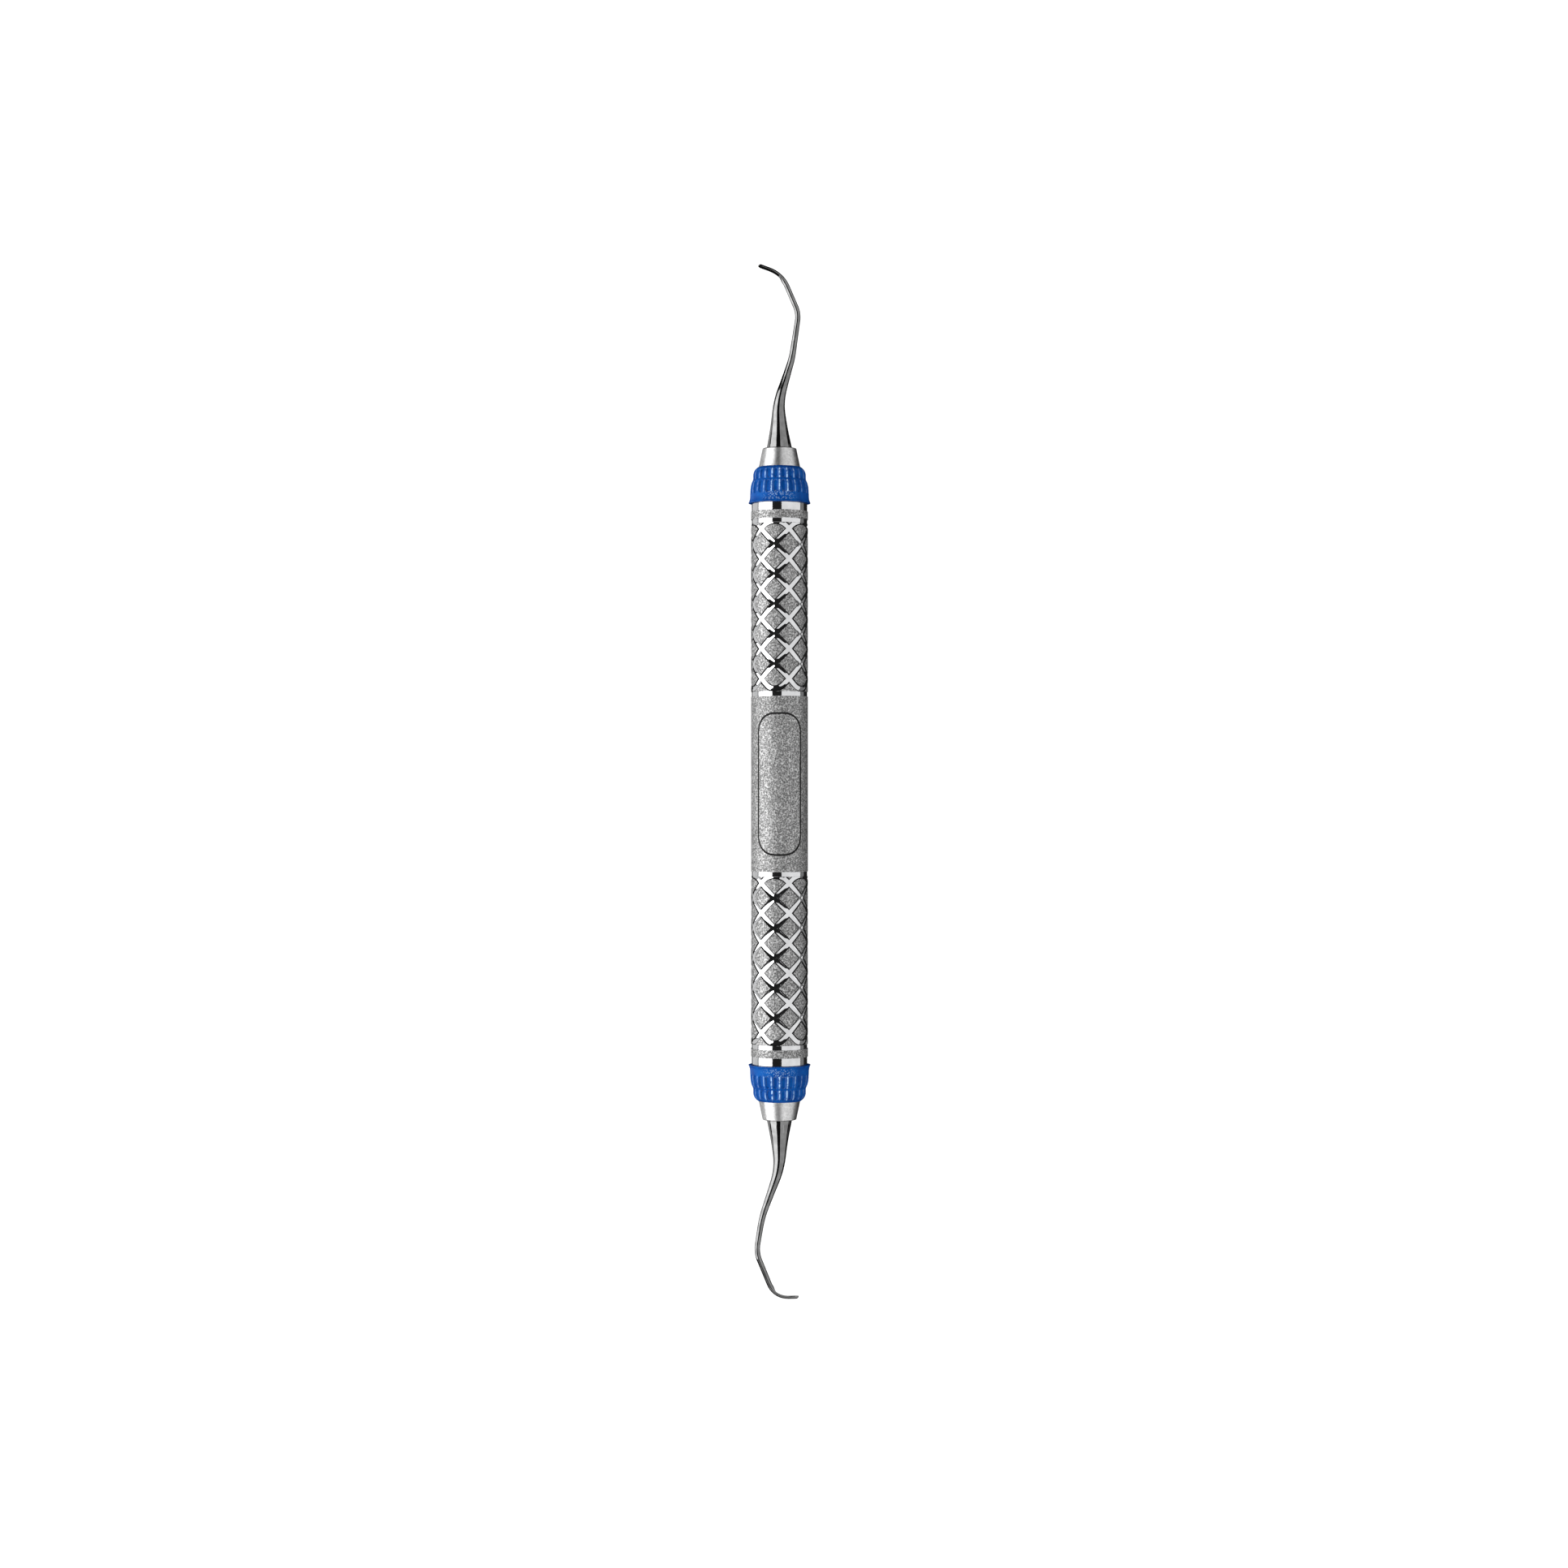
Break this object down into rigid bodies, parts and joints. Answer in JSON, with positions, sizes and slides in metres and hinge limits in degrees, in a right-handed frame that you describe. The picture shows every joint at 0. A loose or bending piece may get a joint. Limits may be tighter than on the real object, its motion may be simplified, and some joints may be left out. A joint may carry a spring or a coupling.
{
  "type": "double-ended hand scaler",
  "caption": "Slim hollow handle with a diamond grip pattern, a pressed cone and moulded colour ring at each end, and a mirrored pair of curved scaling tips.",
  "frame": {"origin": "middle of the handle, on its axis", "axes": "+X along the handle towards the upper working end, +Z towards the side with the engraved outline, +Y to the left of an observer who looks down on that side with +X up"},
  "size_m": [0.173, 0.0104, 0.0104],
  "materials": {
    "matte_steel": "fine bead-blasted, with polished grooves",
    "polished_steel": "turned and polished",
    "tip_steel": "mirror-polished",
    "blue_silicone": "satin"
  },
  "bodies": {
    "root": {"handle_tube": "matte_steel", "upper_end_cone": "polished_steel", "lower_end_cone": "polished_steel", "upper_colour_ring": "blue_silicone", "lower_colour_ring": "blue_silicone", "upper_working_end": "tip_steel", "lower_working_end": "tip_steel"}
  },
  "joints": []
}
